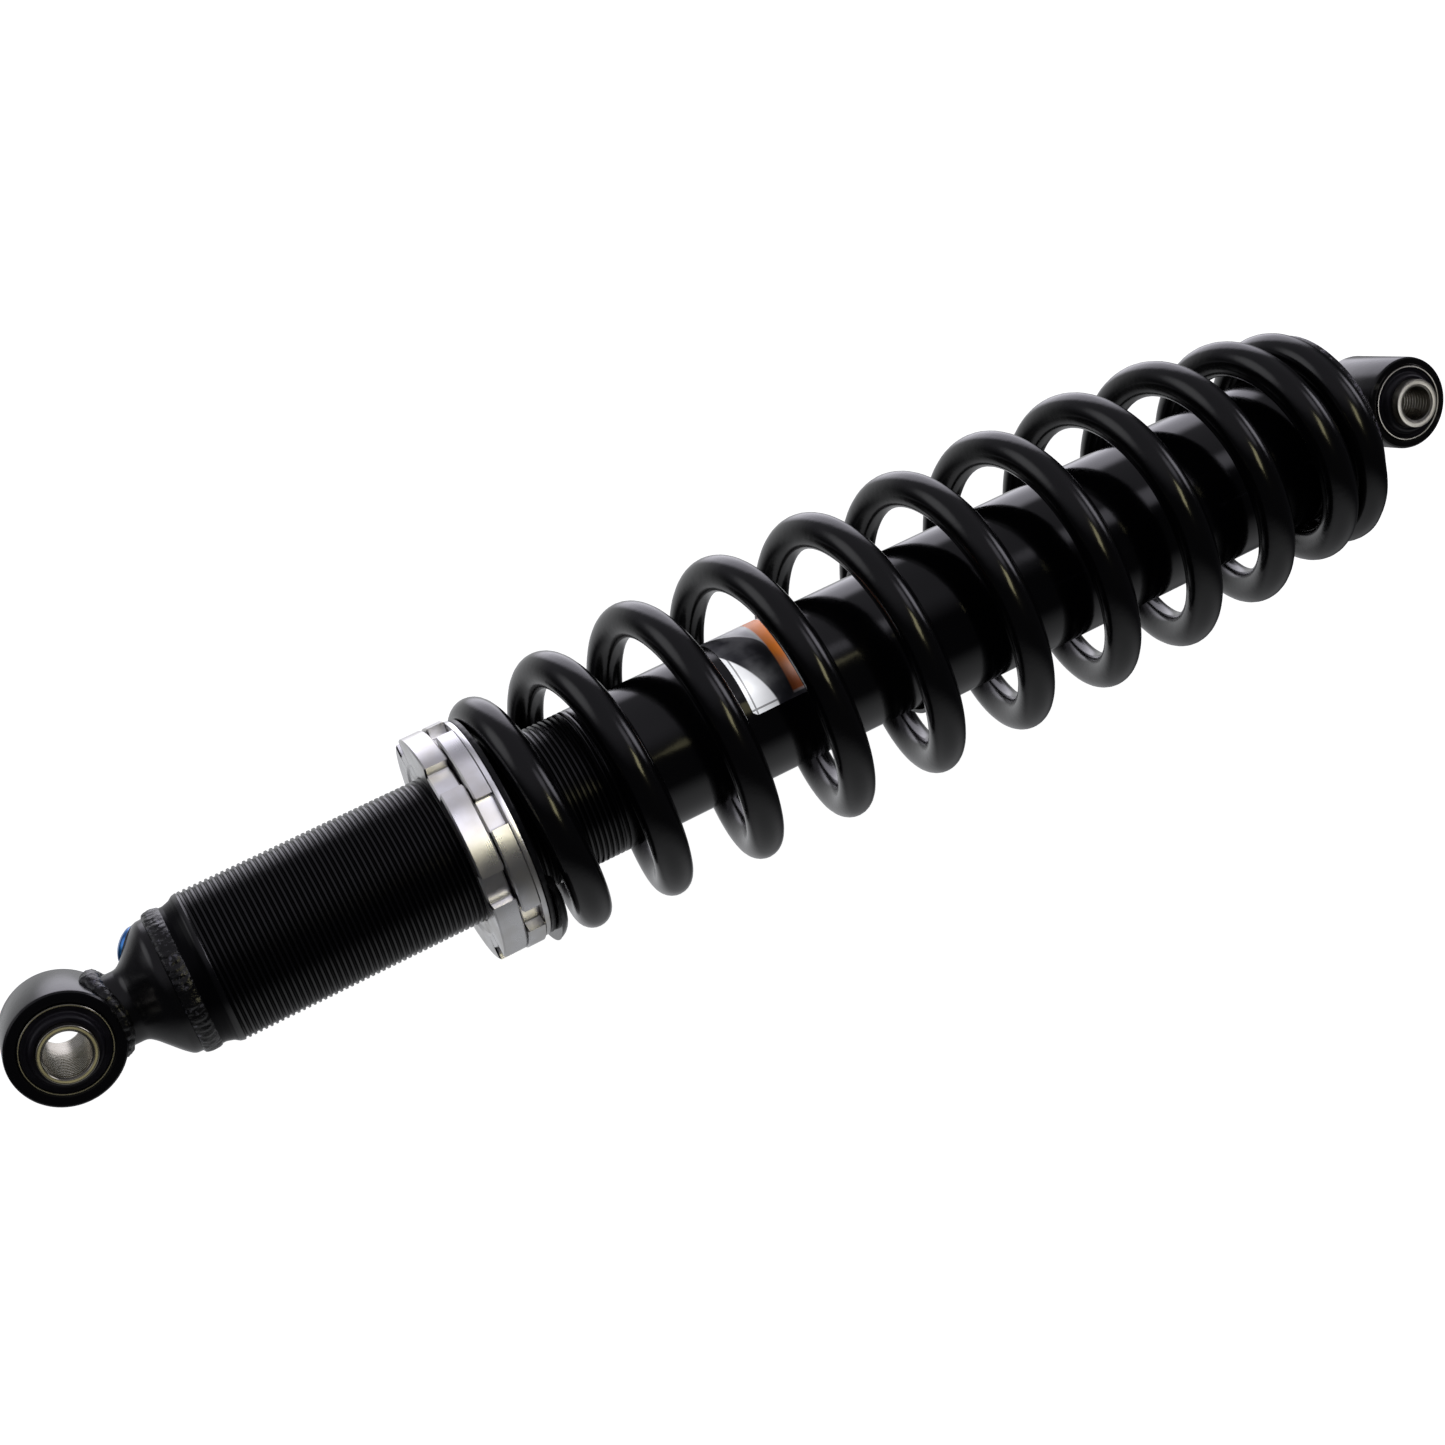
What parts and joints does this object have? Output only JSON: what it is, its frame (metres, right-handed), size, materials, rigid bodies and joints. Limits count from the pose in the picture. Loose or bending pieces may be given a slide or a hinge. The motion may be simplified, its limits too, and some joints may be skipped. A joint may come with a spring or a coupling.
{
  "type": "coil-over gas shock absorber",
  "caption": "Coil-over gas shock for a quad or side-by-side: threaded body, preload and lock collars, barrel coil spring, dust shroud and a rubber-bushed eye at each end.",
  "frame": {"origin": "centre of the body eye's bore", "axes": "+X along the shock from the body eye to the rod eye, +Z along the eye bolts"},
  "size_m": [0.4743, 0.0872, 0.0872],
  "materials": {
    "black_paint": "gloss",
    "spring_coat": "gloss powder coat",
    "black_anodised": "satin",
    "bright_steel": "machined",
    "machined_alloy": "machined",
    "hard_chrome": "polished",
    "black_rubber": "matte",
    "weld_metal": "gloss over a rippled weld",
    "blue_anodised": "gloss",
    "valve_brass": "machined",
    "label_film": "silver film with a black and an orange band",
    "urethane": "matte",
    "guide_polymer": "matte"
  },
  "bodies": {
    "damper_body": {"body_eye_ring": "black_paint", "body_eye_shell": "bright_steel", "body_eye_rubber": "black_rubber", "end_cap": "black_paint", "body_eye_weld": "weld_metal", "cap_weld": "weld_metal", "gas_valve_cap": "blue_anodised", "gas_valve_core": "valve_brass", "damper_tube": "black_anodised", "tube_label": "label_film", "seal_head": "machined_alloy", "seal_head_o_ring": "black_rubber", "rod_guide_bush": "guide_polymer", "oil_seal": "black_rubber", "wiper_seal": "black_rubber", "snap_ring": "bright_steel", "coil_spring": "spring_coat"},
    "body_sleeve": {"body_eye_sleeve": "bright_steel"},
    "gas_piston": {"floating_piston": "machined_alloy", "floating_piston_o_ring": "black_rubber"},
    "spring_seat": {"spring_isolator": "guide_polymer"},
    "preload_collar": {"preload_nut": "machined_alloy"},
    "lock_collar": {"lock_ring": "machined_alloy"},
    "rod_assembly": {"piston_rod": "hard_chrome", "piston": "machined_alloy", "piston_band": "guide_polymer", "compression_shims": "bright_steel", "rebound_shims": "bright_steel", "piston_nut": "bright_steel", "top_out_bumper": "urethane", "bump_stop": "urethane", "bump_washer": "bright_steel", "shroud": "black_paint", "spring_retainer": "black_paint", "rod_eye": "black_paint", "rod_eye_weld": "weld_metal", "rod_eye_shell": "bright_steel", "rod_eye_rubber": "black_rubber"},
    "rod_sleeve": {"rod_eye_sleeve": "bright_steel"}
  },
  "joints": [
    {"name": "rod_slide", "type": "slide", "parent": "damper_body", "child": "rod_assembly", "axis": [-1, 0, 0], "range_m": [0, 0.1], "stiffness_N_per_m": 32000, "springref_m": -0.002, "deforming": ["coil_spring"]},
    {"name": "gas_piston_slide", "type": "slide", "parent": "damper_body", "child": "gas_piston", "axis": [-1, 0, 0], "range_m": [0, 0.01083]},
    {"name": "preload_nut_turn", "type": "hinge", "parent": "spring_seat", "child": "preload_collar", "pos_m": [0.125, 0, 0], "axis": [1, 0, 0], "range_deg": [-1080, 0]},
    {"name": "spring_seat_travel", "type": "slide", "parent": "damper_body", "child": "spring_seat", "axis": [1, 0, 0], "range_m": [-0.00477, 0], "deforming": ["coil_spring"]},
    {"name": "lock_ring_turn", "type": "hinge", "parent": "spring_seat", "child": "lock_collar", "pos_m": [0.117, 0, 0], "axis": [1, 0, 0], "range_deg": [-1080, 0]},
    {"name": "body_sleeve_twist", "type": "hinge", "parent": "damper_body", "child": "body_sleeve", "pos_m": [0, 0, 0], "axis": [0, 0, 1], "range_deg": [-15, 15], "stiffness_Nm_per_rad": 5},
    {"name": "rod_sleeve_twist", "type": "hinge", "parent": "rod_assembly", "child": "rod_sleeve", "pos_m": [0.444, 0, 0], "axis": [0, 0, 1], "range_deg": [-15, 15], "stiffness_Nm_per_rad": 5}
  ],
  "couplings": [
    {"joint": "gas_piston_slide", "follows": "rod_slide", "ratio": 0.1082},
    {"joint": "spring_seat_travel", "follows": "preload_nut_turn", "m_per_rad": 0.00025266},
    {"joint": "lock_ring_turn", "follows": "preload_nut_turn", "ratio": 1}
  ]
}
